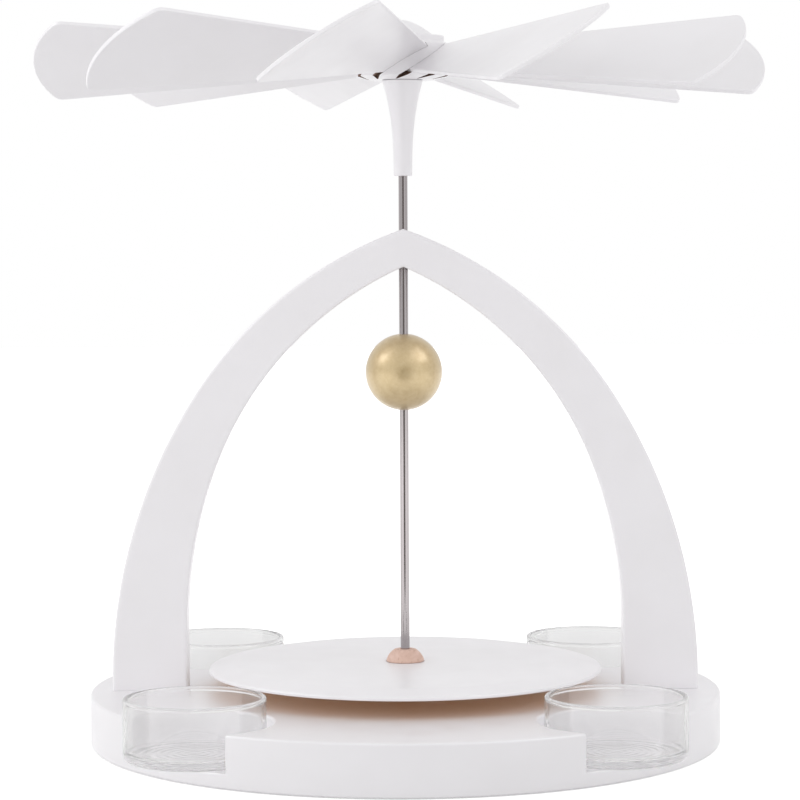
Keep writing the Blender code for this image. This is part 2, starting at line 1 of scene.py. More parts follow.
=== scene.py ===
# Candle carousel, dressed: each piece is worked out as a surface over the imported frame.
# Lengths in the dictionaries of the pieces are millimetres and angles are degrees. The meshes, and
# everything in the studio's and the camera's dictionaries, are in metres.

import math

import bmesh
import bpy
import numpy as np
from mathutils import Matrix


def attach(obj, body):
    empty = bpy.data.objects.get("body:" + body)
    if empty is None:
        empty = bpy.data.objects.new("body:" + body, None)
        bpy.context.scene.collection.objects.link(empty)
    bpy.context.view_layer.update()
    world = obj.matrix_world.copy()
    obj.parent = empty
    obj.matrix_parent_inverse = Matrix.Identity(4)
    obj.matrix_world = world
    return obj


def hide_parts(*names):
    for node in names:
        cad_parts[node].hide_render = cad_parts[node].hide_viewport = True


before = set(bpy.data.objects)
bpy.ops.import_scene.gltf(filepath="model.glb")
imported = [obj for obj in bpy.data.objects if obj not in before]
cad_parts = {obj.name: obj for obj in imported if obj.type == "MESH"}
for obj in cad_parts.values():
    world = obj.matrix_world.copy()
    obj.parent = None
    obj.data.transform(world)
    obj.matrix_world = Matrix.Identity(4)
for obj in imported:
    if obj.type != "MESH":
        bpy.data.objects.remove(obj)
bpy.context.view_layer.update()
scene = bpy.context.scene
print("frame loaded:", len(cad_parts), "nodes")

# A millimetre in metres, the distance in metres within which points are merged, the angle beyond
# which an edge stays sharp, the sides of a drilled hole, and white with its alpha.
milli = 0.001
weldDistance = 2e-7
sharpAngle = 28.0
drillSides = 48
white = (1.0, 1.0, 1.0, 1.0)

# Where the pieces of the frame stand; everything below is built on these heights and radii.
layout = {
    "baseTop": 22.5,
    "platterBottom": 30.6,
    "innerApex": 210.3,
    "outerApex": 227.0,
    "stemBottom": 250.4,
    "stemTop": 292.45,
    "hubBottom": 292.6,
    "hubTop": 311.8,
    "bladePlane": 298.35,
    "pocketRing": 124.3,
    "shaftRadius": 2.0,
}


# Points on a circle: centre plus radius times the cosine and sine of each angle.
def onCircle(centre, radius, angle):
    angle = np.radians(angle)
    return np.stack([centre[0] + radius * np.cos(angle), centre[1] + radius * np.sin(angle)], -1)


# A circle's arc, with evenly spaced angles.
def arcPoints(centre, radius, start, end, steps):
    return onCircle(centre, radius, np.linspace(start, end, steps + 1))


# The matrix that turns points by an angle in radians about the axis x, y or z, numbered 0, 1 and 2.
def turnMatrix(angle, axis):
    first, second = (axis + 1) % 3, (axis + 2) % 3
    matrix = np.eye(3)
    matrix[first, first] = matrix[second, second] = math.cos(angle)
    matrix[second, first], matrix[first, second] = math.sin(angle), -math.sin(angle)
    return matrix


# A path of straight runs with rounded corners. Each corner, given as first coordinate, second
# coordinate and radius, becomes an arc that starts where the run before it touches the circle and
# turns about the circle's centre by the angle between the two runs. Points that nearly fall on the
# one before are left out.
def roundedPath(corners, steps=5, leastStep=1e-4):
    corner = np.array(corners, float)
    point, radius = corner[:, :2], corner[:, 2]
    before, after = point - np.roll(point, 1, 0), np.roll(point, -1, 0) - point
    before[0], after[-1] = after[0], before[-1]
    before = before / np.linalg.norm(before, axis=1, keepdims=True)
    after = after / np.linalg.norm(after, axis=1, keepdims=True)
    turn = np.arctan2(
        before[:, 0] * after[:, 1] - before[:, 1] * after[:, 0], (before * after).sum(1)
    )
    side = np.sign(turn)[:, None] * np.stack([-before[:, 1], before[:, 0]], -1)
    touch = point - before * (radius * np.tan(np.abs(turn) / 2))[:, None]
    centre = touch + side * radius[:, None]
    angle = turn[:, None] * np.linspace(0, 1, steps + 1)[None, :]
    spoke = touch - centre
    x = centre[:, :1] + spoke[:, :1] * np.cos(angle) - spoke[:, 1:] * np.sin(angle)
    y = centre[:, 1:] + spoke[:, :1] * np.sin(angle) + spoke[:, 1:] * np.cos(angle)
    path = np.stack([x, y], -1).reshape(-1, 2)
    keep = np.linalg.norm(path - np.roll(path, 1, 0), axis=1) > leastStep
    keep[0] = True
    return path[keep]


# Smooth shading, except across edges that turn by more than the given angle.
def smoothMesh(mesh, sharp):
    mesh.shade_smooth()
    mesh.set_sharp_from_angle(angle=math.radians(sharp))
    return mesh


# A closed mesh from a grid of points. Each cell of the grid is one face, the last column joins the
# first, and a row may join the first again (ring) or be closed by one flat face (lids). Points that
# fall together, as at a pole, are merged, and the faces are turned outwards.
def gridMesh(name, grid, ring=False, lids=False, sharp=sharpAngle):
    rows, columns = grid.shape[:2]
    index = np.arange(rows * columns).reshape(rows, columns)
    across = np.hstack([index, index[:, :1]])
    if ring:
        across = np.vstack([across, across[:1]])
    cells = np.stack([across[:-1, :-1], across[1:, :-1], across[1:, 1:], across[:-1, 1:]], -1)
    faces = cells.reshape(-1, 4).tolist()
    if lids:
        faces += [index[0].tolist(), index[-1, ::-1].tolist()]
    mesh = bpy.data.meshes.new(name)
    mesh.from_pydata((grid.reshape(-1, 3) * milli).tolist(), [], faces)
    shape = bmesh.new()
    shape.from_mesh(mesh)
    bmesh.ops.remove_doubles(shape, verts=shape.verts, dist=weldDistance)
    bmesh.ops.recalc_face_normals(shape, faces=shape.faces)
    shape.to_mesh(mesh)
    shape.free()
    return smoothMesh(mesh, sharp)


# A profile of radius and height turned about an upright axis: x and y are the axis plus radius
# times the cosine and sine of the turning angle, and z is the height. A profile that starts on the
# axis also ends there, and any other one joins its own start.
def turnedMesh(name, profile, segments, axis=(0.0, 0.0), sharp=sharpAngle):
    profile = np.array(profile, float)
    angle = np.arange(segments) / segments * 2 * np.pi
    radius, height = profile[:, :1], profile[:, 1:]
    x, y = axis[0] + radius * np.cos(angle), axis[1] + radius * np.sin(angle)
    return gridMesh(name, np.stack([x, y, height + 0 * angle], -1), radius[0, 0] > 0, sharp=sharp)


def addObject(name, data):
    thing = bpy.data.objects.new(name, data)
    scene.collection.objects.link(thing)
    return thing


# One finished piece: its object at the origin, its finishes, the body it rides on and the node that
# it stands for. A mesh with finishes of its own keeps them, and the empty slots that a cut leaves
# are cleared.
def addPiece(name, mesh, finishes, body, node):
    piece = addObject(name, mesh)
    if not any(mesh.materials):
        mesh.materials.clear()
        for finish in finishes:
            mesh.materials.append(finish)
    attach(piece, body)
    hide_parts(node)


# An upright round tool for a hole, with more points of its profile where it widens below.
def drillTool(radius, bottom, top, x=0.0, head=()):
    profile = [(0, top), (radius, top), (radius, bottom), *head]
    return turnedMesh("drill", [*profile, (0, profile[-1][1])], drillSides, (x, 0.0))


# Takes the tools' shapes out of a mesh and gives back the result. The walls of a cut keep the
# tool's own finish, where it has one.
def cutMesh(mesh, tools, sharp=sharpAngle):
    body = addObject("blank", mesh)
    cutters = [addObject(f"tool{number}", tool) for number, tool in enumerate(tools)]
    for cutter in cutters:
        step = body.modifiers.new(cutter.name, "BOOLEAN")
        step.operation = "DIFFERENCE"
        step.solver = "EXACT"
        step.material_mode = "TRANSFER"
        step.object = cutter
    graph = bpy.context.evaluated_depsgraph_get()
    result = bpy.data.meshes.new_from_object(body.evaluated_get(graph))
    for old in [body, *cutters]:
        bpy.data.objects.remove(old)
    return smoothMesh(result, sharp)


# The nodes of a material or a world. An input is filled with a plain value or with the output of
# another node.
class Nodes:
    def __init__(self, owner):
        owner.use_nodes = True
        self.tree = owner.node_tree

    def fill(self, node, inputs):
        for key, value in inputs.items():
            if isinstance(value, bpy.types.NodeSocket):
                self.tree.links.new(value, node.inputs[key])
            else:
                node.inputs[key].default_value = value

    def add(self, kind, inputs=(), **settings):
        node = self.tree.nodes.new(f"ShaderNode{kind}")
        for key, value in settings.items():
            setattr(node, key, value)
        self.fill(node, dict(inputs))
        return node

    # Reckons with two values and keeps the result between zero and one
    def reckon(self, way, *values):
        return self.add("Math", enumerate(values), operation=way, use_clamp=True).outputs[0]

    # Mixes two surfaces by a share and gives the result to an output node
    def mixInto(self, output, share, first, second):
        mix = self.add("MixShader", {0: share, 1: first.outputs[0], 2: second.outputs[0]})
        self.fill(self.tree.nodes[output], {"Surface": mix.outputs[0]})


# A material with its shader, and the helpers that dress it. A roughness is the lowest and the
# highest one, and the scale of a noise is a count per metre.
class Finish(Nodes):
    def __init__(self, name, colour, roughness, metallic=0.0):
        self.material = bpy.data.materials.new(name)
        super().__init__(self.material)
        self.shader = self.tree.nodes["Principled BSDF"]
        self.roughness = roughness
        self.shade({
            "Base Color": (*colour, 1.0), "Roughness": sum(roughness) / 2, "Metallic": metallic,
        })
        self.place = self.add("TexCoord").outputs["Object"]

    def shade(self, inputs):
        self.fill(self.shader, inputs)

    # Noise over the object's own coordinates, stretched along each axis
    def noise(self, scale, detail=3.0, roughness=0.5, stretch=(1, 1, 1), distortion=0.0):
        mapping = self.add("Mapping", {"Vector": self.place, "Scale": stretch})
        return self.add("TexNoise", {
            "Vector": mapping.outputs["Vector"], "Scale": scale, "Detail": detail,
            "Roughness": roughness, "Distortion": distortion,
        }).outputs["Fac"]

    # Turns a value into colours between the given stops
    def ramp(self, value, stops):
        ramp = self.add("ValToRGB", {"Fac": value})
        for element, (position, colour) in zip(ramp.color_ramp.elements, stops):
            element.position = position
            element.color = (*colour, 1.0)
        return ramp.outputs["Color"]

    # Spreads a value from one range to another
    def span(self, value, low, high, fromLow=0.0, fromHigh=1.0):
        return self.add("MapRange", {
            "Value": value, "From Min": fromLow, "From Max": fromHigh, "To Min": low, "To Max": high,
        }).outputs["Result"]

    # Lays one colour over another by a share; a node that mixes colours has its share, the lower
    # and the upper colour in the inputs 0, 6 and 7, and its colour in output 2
    def laidOver(self, share, colour, under):
        inputs = {0: share, 6: under, 7: (*colour, 1.0)}
        return self.add("Mix", inputs, data_type="RGBA").outputs[2]

    # Lets the roughness follow a value, from its lowest to its highest
    def rough(self, source, fromLow, fromHigh):
        self.shade({"Roughness": self.span(source, *self.roughness, fromLow, fromHigh)})

    # Fine relief from one or more heights, each with its own depth in millimetres and its strength
    def relief(self, layers):
        under = {}
        for height, depth, strength in layers:
            inputs = {"Height": height, "Distance": depth * milli, "Strength": strength, **under}
            under = {"Normal": self.add("Bump", inputs).outputs["Normal"]}
        self.shade(under)


# Sprayed satin lacquer: nearly one white, with a faint cloudiness, the soft ripple of a sprayed
# coat and the wood's pores showing very weakly through it.
lacquer = {
    "colour": (0.895, 0.880, 0.902),
    "cloud": (0.877, 0.861, 0.880),
    "roughness": (0.30, 0.42),
    "shine": 0.55,
    "cloudScale": 26.0,
    "satinScale": 90.0,
    "rippleScale": 420.0,
    "rippleDepth": 0.05,
    "poreScale": 1900.0,
    "poreDepth": 0.02,
}


def makeLacquer():
    finish = Finish("whiteLacquer", lacquer["colour"], lacquer["roughness"])
    cloud = finish.noise(lacquer["cloudScale"], detail=4.0, roughness=0.55)
    tone = finish.ramp(cloud, [(0.35, lacquer["cloud"]), (0.62, lacquer["colour"])])
    finish.shade({"Base Color": tone, "Specular IOR Level": lacquer["shine"]})
    finish.rough(finish.noise(lacquer["satinScale"]), 0.3, 0.7)
    ripple = finish.noise(lacquer["rippleScale"], detail=2.0)
    pores = finish.noise(lacquer["poreScale"], detail=2.0)
    finish.relief([(ripple, lacquer["rippleDepth"], 0.25), (pores, lacquer["poreDepth"], 0.15)])
    return finish.material


# Bare fibre wood, where no lacquer reached: under the platter and in the hub's slots, where it is
# coloured darker as painted shade. Under the platter it also glows faintly, painted light that
# stands in for the light going to and fro in the narrow gap.
# Its glow is painted light for the narrow gap under the platter.
underWoodPaintedGlow = {"dark": (0.56, 0.34, 0.19), "light": (0.82, 0.54, 0.32), "glow": 0.07}
# The same bare wood, darker in the slots: painted shade.
slotWoodPaintedShade = {"dark": (0.20, 0.12, 0.09), "light": (0.36, 0.25, 0.20), "glow": 0.0}
fibre = {
    "roughness": (0.85, 0.85),
    "shine": 0.25,
    "scale": 700.0,
    "depth": 0.08,
    "paintedGlowColour": (1.0, 0.56, 0.28, 1.0),
}


def makeBareWood(name, wood):
    finish = Finish(name, wood["light"], fibre["roughness"])
    grain = finish.noise(fibre["scale"], detail=5.0, roughness=0.7)
    finish.relief([(grain, fibre["depth"], 0.5)])
    finish.shade({
        "Base Color": finish.ramp(grain, [(0.3, wood["dark"]), (0.7, wood["light"])]),
        "Specular IOR Level": fibre["shine"],
        # The emission is painted light: it stands in for light going to and fro under the platter.
        "Emission Color": fibre["paintedGlowColour"],
        "Emission Strength": wood["glow"],
    })
    return finish.material


# Turned natural beech: a pale pinkish tan with slow growth bands and short dark flecks.
beech = {
    "pale": (0.780, 0.560, 0.475),
    "band": (0.700, 0.480, 0.390),
    "fleck": (0.540, 0.320, 0.240),
    "roughness": (0.50, 0.66),
    "shine": 0.35,
    "bandScale": 260.0,
    "bandStretch": (1.0, 0.35, 1.0),
    "fleckScale": 900.0,
    "fleckStretch": (1.0, 0.3, 0.6),
    "fleckDepth": 0.05,
    "mostFleck": 0.6,
}


def makeBeech():
    finish = Finish("naturalBeech", beech["pale"], beech["roughness"])
    bands = finish.noise(beech["bandScale"], stretch=beech["bandStretch"], distortion=0.6)
    tone = finish.ramp(bands, [(0.35, beech["band"]), (0.65, beech["pale"])])
    flecks = finish.noise(beech["fleckScale"], detail=2.0, stretch=beech["fleckStretch"])
    mask = finish.span(flecks, 0.0, beech["mostFleck"], 0.58, 0.74)
    tone = finish.laidOver(mask, beech["fleck"], tone)
    finish.shade({"Base Color": tone, "Specular IOR Level": beech["shine"]})
    finish.rough(flecks, 0.3, 0.7)
    finish.relief([(flecks, beech["fleckDepth"], 0.3)])
    return finish.material


# Satin gold lacquer with fine metal flake under a clear coat, on the wooden ball.
gold = {
    "colour": (0.650, 0.505, 0.275),
    "deep": (0.575, 0.430, 0.215),
    "roughness": (0.34, 0.46),
    "metallic": 0.5,
    "patchScale": 420.0,
    "patchDepth": 0.04,
    "flakeScale": 2600.0,
    "flakeDepth": 0.03,
    "coat": {
        "Specular Tint": (0.45, 0.36, 0.22, 1.0),
        "Coat Weight": 1.0,
        "Coat Roughness": 0.28,
        "Coat IOR": 1.75,
    },
}


def makeGold():
    finish = Finish("goldLacquer", gold["colour"], gold["roughness"], gold["metallic"])
    patch = finish.noise(gold["patchScale"], detail=6.0, roughness=0.75)
    tone = finish.ramp(patch, [(0.35, gold["deep"]), (0.65, gold["colour"])])
    finish.shade({"Base Color": tone, **gold["coat"]})
    flake = finish.noise(gold["flakeScale"], detail=1.0)
    finish.rough(flake, 0.35, 0.65)
    finish.relief([(flake, gold["flakeDepth"], 0.5), (patch, gold["patchDepth"], 0.2)])
    return finish.material


# Metals with fine lines round them from the grinding wheel or the lathe: ground steel, and brass
# for the bush and the pivot's socket. Each noise is its scale, detail, roughness and stretch, the
# stops are where the tone is dull and bright, and the relief has its depth and its strength.
steel = {
    "bright": (0.425, 0.395, 0.400),
    "dull": (0.405, 0.375, 0.380),
    "stops": (0.3, 0.7),
    "roughness": (0.10, 0.14),
    "tone": (60.0, 4.0, 0.7, (1.0, 1.0, 120.0)),
    "lines": (60.0, 4.0, 0.7, (1.0, 1.0, 120.0)),
    "relief": (0.002, 0.05),
}
brass = {
    "bright": (0.760, 0.570, 0.270),
    "dull": (0.560, 0.390, 0.160),
    "stops": (0.35, 0.6),
    "roughness": (0.20, 0.38),
    "tone": (300.0, 4.0, 0.6),
    "lines": (80.0, 3.0, 0.6, (1.0, 1.0, 60.0)),
    "relief": (0.02, 0.3),
}


def makeMetal(name, metal):
    finish = Finish(name, metal["bright"], metal["roughness"], 1.0)
    tone, lines = finish.noise(*metal["tone"]), finish.noise(*metal["lines"])
    stops = zip(metal["stops"], (metal["dull"], metal["bright"]))
    finish.shade({"Base Color": finish.ramp(tone, stops)})
    finish.rough(lines, 0.3, 0.7)
    finish.relief([(lines, *metal["relief"])])
    return finish.material


# Clear pressed glass with very slight waves left by the mould and a faint haze. A share of what is
# behind it is seen straight through, and light from the lamps and the room passes it unbent.
glass = {
    "colour": (1.0, 1.0, 1.0),
    "roughness": (0.0, 0.02),
    "ior": 1.48,
    "clearness": 0.94,
    "straight": 0.15,
    "waveScale": 55.0,
    "waveDepth": 0.12,
}


def makeGlass():
    finish = Finish("clearGlass", glass["colour"], glass["roughness"])
    finish.shade({"Transmission Weight": glass["clearness"], "IOR": glass["ior"]})
    wave = finish.noise(glass["waveScale"], detail=2.0)
    finish.rough(wave, 0.4, 0.7)
    finish.relief([(wave, glass["waveDepth"], 0.12)])
    ray = finish.add("LightPath").outputs
    lit = finish.reckon("MAXIMUM", ray["Is Shadow Ray"], ray["Is Diffuse Ray"])
    clear = finish.add("BsdfTransparent", {"Color": white})
    share = finish.span(lit, glass["straight"], 1.0)
    finish.mixInto("Material Output", share, finish.shader, clear)
    return finish.material


whiteFinish = makeLacquer()
slotShadeFinish = makeBareWood("slotWoodPaintedShade", slotWoodPaintedShade)
underGlowFinish = makeBareWood("underWoodPaintedGlow", underWoodPaintedGlow)
beechFinish = makeBeech()
goldFinish = makeGold()
steelFinish = makeMetal("groundSteel", steel)
brassFinish = makeMetal("turnedBrass", brass)
glassFinish = makeGlass()
print("finishes made")


# The base: a round disc with four pockets for the glasses that break out through its rim. Holes for
# the pivot and the dowels go down to one height, and the screws' ways go right through.
base = {
    "radius": 140.0,
    "edge": 1.2,
    "pocketRadius": 33.0,
    "pocketFloor": 6.5,
    "hornRadius": 1.5,
    "ledgeEdge": 0.8,
    "ledgeShare": 0.6,
    "ledgeRun": 1.3,
    "topMargin": 0.2,
    "footMargin": 0.4,
    "wallRows": (10.0, 8.0),
    "wallFoot": 7.0,
    "wallFall": 1.5,
    "edgeSteps": 6,
    "rimColumns": 22,
    "hornColumns": 8,
    "pocketColumns": 72,
    "bearings": (45.0, -45.0, -135.0, -225.0),
    "pivotHole": 5.3,
    "dowelHole": 3.15,
    "dowelSpread": 10.5,
    "holeReach": (11.2, layout["baseTop"] + 3.0),
    "screwSpots": (-113.5, 113.5),
    "screwHole": 2.2,
    "screwReach": (4.0, 30.0),
    "screwHead": ((4.3, 1.6), (4.3, -3.0)),
}


# The tools for the arch's two feet, in the base and in the arch: one for each screw, and one for
# the dowel at each side of it. A reach is the lower and the upper end of a tool.
def footTools(screwReach, dowelReach, head=()):
    tools = []
    for x in base["screwSpots"]:
        tools.append(drillTool(base["screwHole"], *screwReach, x, head))
        for shift in (-base["dowelSpread"], base["dowelSpread"]):
            tools.append(drillTool(base["dowelHole"], *dowelReach, x + shift))
    return tools


# One quarter of the base's outline, seen from above, with the pocket at bearing zero: the rim, a
# small arc that rounds the horn, the pocket's arc, and the same mirrored. The horn's arc touches
# the rim from inside and the pocket from outside, so its centre lies where those two offset circles
# cross. Gives the outline's points, the directions out of the wood, the angle on the rim that each
# point is joined to at the pocket's floor, and whether it belongs to the pocket.
def baseQuarter():
    reach, ring = base["radius"] - base["hornRadius"], layout["pocketRing"]
    near = base["pocketRadius"] + base["hornRadius"]
    x = (reach**2 - near**2 + ring**2) / (2 * ring)
    horn = np.array([x, math.sqrt(reach**2 - x**2)])
    hornAngle = math.degrees(math.atan2(horn[1], horn[0]))
    pocketAngle = math.degrees(math.atan2(horn[1], horn[0] - ring))
    rim = np.linspace(45.0, hornAngle, base["rimColumns"] + 1)[1:-1]
    turn = np.linspace(hornAngle, pocketAngle - 180.0, base["hornColumns"] + 1)
    hollow = np.linspace(pocketAngle, 180.0, base["pocketColumns"] // 2 + 1)[1:]
    points = np.vstack([
        onCircle((0, 0), base["radius"], rim),
        onCircle(horn, base["hornRadius"], turn),
        onCircle((ring, 0), base["pocketRadius"], hollow),
    ])
    ways = onCircle((0, 0), 1.0, np.concatenate([rim, turn, hollow + 180.0]))
    slide = np.linspace(0.0, 1.0, len(turn) + len(hollow))
    joined = np.concatenate([rim, hornAngle * (1 - slide)])
    mirror = np.array([1.0, -1.0])
    edge = base["radius"] * np.array([[math.cos(math.pi / 4), math.sin(math.pi / 4)]])
    points = np.vstack([edge, points, points[-2::-1] * mirror])
    ways = np.vstack([edge / base["radius"], ways, ways[-2::-1] * mirror])
    joined = np.concatenate([[45.0], joined, -joined[-2::-1]])
    cut = np.concatenate([np.zeros(len(rim) + 1, bool), np.ones(len(slide), bool)])
    return points, ways, joined, np.concatenate([cut, cut[-2:0:-1]])


# The base's grid: the quarter outline turned to the four bearings makes the columns. From the top
# face the rows step out and down round the edge, go down the wall, and out over the pocket's floor
# to the rim, which carries on down to the underside. Outside the pockets the rows of the floor are
# spread along the plain rim instead.
def makeBase():
    points, ways, joined, cut = baseQuarter()
    turned = []
    for bearing in base["bearings"]:
        spin = turnMatrix(math.radians(bearing), 2)[:2, :2].T
        turned.append((points @ spin, ways @ spin, joined + bearing, cut))
    top, way, angle, cut = (np.concatenate([part[k] for part in turned]) for k in range(4))
    circle, rim, edge = onCircle((0, 0), 1.0, angle), base["radius"], base["edge"]
    height, floor = layout["baseTop"], base["pocketFloor"]
    rows = []

    def row(flat, z):
        rows.append(np.column_stack([flat, np.broadcast_to(z, len(flat))]))

    def floorRow(inset, z, wallHeight):
        outside = circle * (rim - inset)[:, None]
        row(np.where(cut[:, None], outside, top), np.where(cut, z, wallHeight))

    quarter = np.radians(np.linspace(0, 90, base["edgeSteps"] + 1))
    row(top - way * (edge + base["topMargin"]), height)
    for a in quarter:
        row(top - way * edge * (1 - math.sin(a)), height - edge * (1 - math.cos(a)))
    ledge = np.minimum(base["ledgeEdge"], base["ledgeShare"] * (rim - np.linalg.norm(top, axis=1)))
    firstWall, secondWall = base["wallRows"]
    row(top, np.where(cut, floor, firstWall))
    floorRow(base["ledgeRun"] * ledge, floor, secondWall)
    for a in quarter:
        drop = ledge * (1 - math.cos(a))
        floorRow(ledge * (1 - math.sin(a)), floor - drop, base["wallFoot"] - base["wallFall"] * a)
    for a in quarter:
        row(circle * (rim - edge * (1 - math.cos(a))), edge * (1 - math.sin(a)))
    row(circle * (rim - edge - base["footMargin"]), 0.0)
    blank = gridMesh("baseDisc", np.stack(rows), lids=True)
    tools = footTools(base["screwReach"], base["holeReach"], base["screwHead"])
    mesh = cutMesh(blank, [drillTool(base["pivotHole"], *base["holeReach"]), *tools])
    addPiece("baseDisc", mesh, [whiteFinish], "stand", "base_disc")


makeBase()
print("base made")


# The pointed arch, cut from one board, with holes for the bush, the screws and the dowels.
arch = {
    "thickness": 15.0,
    "edge": 1.2,
    "foot": 22.56,
    "innerHalf": 96.8,
    "outerHalf": 130.2,
    "innerSpring": 50.6,
    "outerSpring": 26.6,
    "innerFlank": 200.7,
    "outerFlank": 235.0,
    "innerShoulder": 20.9,
    "outerShoulder": 32.7,
    "steps": 90,
    "curveSteps": 400,
    "footPoints": 60,
    "edgeSteps": 5,
    "faceMargin": 1.3,
    "sideMargin": 0.4,
    "sharp": 24.0,
    "bushHole": 3.25,
    "bushReach": (190.0, 245.0),
    "screwReach": (15.0, 43.3),
    "dowelReach": (15.0, 35.8),
}


# One side of the arch's outline: a flank arc that stands upright at the springing, then an arc that
# is tangent to it at the shoulder and reaches the apex on the centre line. Its points are spread
# evenly by length along the way from foot to apex.
def archSide(side, straightFoot):
    half, spring, flank, shoulder = (
        arch[side + size] for size in ("Half", "Spring", "Flank", "Shoulder")
    )
    apex = layout[side + "Apex"]
    low = np.array([half - flank, spring])
    lean, lift = math.cos(math.radians(shoulder)), math.sin(math.radians(shoulder))
    rise = apex - spring
    shift = (low[0] ** 2 + rise**2 - flank**2) / (2 * (rise * lift - flank - low[0] * lean))
    high = low + shift * np.array([lean, lift])
    top = math.degrees(math.atan2(apex - high[1], -high[0]))
    start = 0.0 if straightFoot else math.degrees(math.asin((arch["foot"] - spring) / flank))
    path = np.vstack([
        arcPoints(low, flank, start, shoulder, arch["curveSteps"]),
        arcPoints(high, flank - shift, shoulder, top, arch["curveSteps"])[1:],
    ])
    path[-1] = (0.0, apex)
    if straightFoot:
        post = np.linspace([half, arch["foot"]], path[0], arch["footPoints"])[:-1]
        path = np.vstack([post, path])
    length = np.concatenate([[0], np.cumsum(np.linalg.norm(np.diff(path, axis=0), axis=1))])
    even = np.linspace(0, length[-1], arch["steps"] + 1)
    return np.stack([np.interp(even, length, path[:, k]) for k in (0, 1)], -1)


# The arch's grid: a rectangle with rounded corners is carried from the left foot over the apex to
# the right foot. Its outer side lies on the outer outline and its inner side on the inner one. A
# corner's radius is divided by the cosine between the section and the outline's own normal, so the
# rounding keeps its width at the apex.
def makeArch():
    outer, inner = archSide("outer", False), archSide("inner", True)
    across = inner - outer
    across = across / np.linalg.norm(across, axis=1, keepdims=True)
    edge, half = arch["edge"], arch["thickness"] / 2

    def spread(path):
        run = np.gradient(path, axis=0)
        run[-1] = path[-1] - path[-2]
        run /= np.linalg.norm(run, axis=1, keepdims=True)
        normal = np.stack([-run[:, 1], run[:, 0]], -1)
        return edge / np.abs((normal * across).sum(1))[:, None]

    bend = np.radians(np.linspace(0, 90, arch["edgeSteps"] + 1))
    # How far each point of the section lies in from its outer side, as a share of the corner, and
    # its depth: round one corner, a step along the side, round the other corner
    corner, fall = 1 - np.sin(bend), half - edge * (1 - np.cos(bend))
    flank = half - edge - arch["sideMargin"]
    margin = [arch["faceMargin"]]
    inward = np.concatenate([margin, corner, [0.0, 0.0], corner[::-1], margin])
    depth = np.concatenate([[half], fall, [flank, -flank], -fall[::-1], [-half]])
    a = outer[:, None, :] + across[:, None, :] * (inward[None, :] * spread(outer))[..., None]
    b = inner[:, None, :] - across[:, None, :] * (inward[None, ::-1] * spread(inner))[..., None]
    section = np.concatenate([a, b], 1)
    depth = np.broadcast_to(np.concatenate([depth, depth[::-1]]), section.shape[:2])
    right = np.stack([section[..., 0], depth, section[..., 1]], -1)
    left = right[-2::-1] * np.array([-1.0, 1.0, 1.0])
    blank = gridMesh("archBoard", np.concatenate([right, left]), lids=True, sharp=arch["sharp"])
    tools = footTools(arch["screwReach"], arch["dowelReach"])
    mesh = cutMesh(blank, [drillTool(arch["bushHole"], *arch["bushReach"]), *tools], arch["sharp"])
    addPiece("archBoard", mesh, [whiteFinish], "stand", "arch")


makeArch()
print("arch made")


# The turning shaft: a ground rod with a point below and a chamfer on top.
shaft = {
    "tip": 16.3,
    "top": 296.6,
    "pointLength": 4.5,
    "pointRadius": 0.2,
    "chamfer": 0.4,
    "soft": 0.1,
    "softNeck": 0.3,
    "segments": 72,
}


def makeShaft():
    r, tip, top, soft = layout["shaftRadius"], shaft["tip"], shaft["top"], shaft["soft"]
    profile = roundedPath([
        (0, top, 0), (r - shaft["chamfer"], top, soft), (r, top - shaft["chamfer"], soft),
        (r, tip + shaft["pointLength"], shaft["softNeck"]), (shaft["pointRadius"], tip, soft),
        (0, tip, 0),
    ])
    mesh = turnedMesh("steelShaft", profile, shaft["segments"])
    addPiece("steelShaft", mesh, [steelFinish], "spindle", "shaft")


# The platter: flat on top with a seat for the button, then a sloping shoulder down to a round nose.
# Its underside, up to a hair above its lowest level, is bare wood.
platter = {
    "radius": 87.5,
    "thickness": 3.7,
    "shoulder": 11.5,
    "drop": 1.9,
    "slopeStart": 0.8,
    "slopePoints": 9,
    "crest": ((-1.2, 0.0), (-0.2, -0.02)),
    "nose": 1.08,
    "noseStart": 84.0,
    "noseSteps": 12,
    "heel": 0.5,
    "heelSteps": 6,
    "margin": 0.4,
    "middle": 40.0,
    "seatRadius": 8.65,
    "seatDepth": 0.3,
    "seatSoft": (0.05, 0.12),
    "bore": 2.05,
    "segments": 288,
    "hair": 0.02,
}


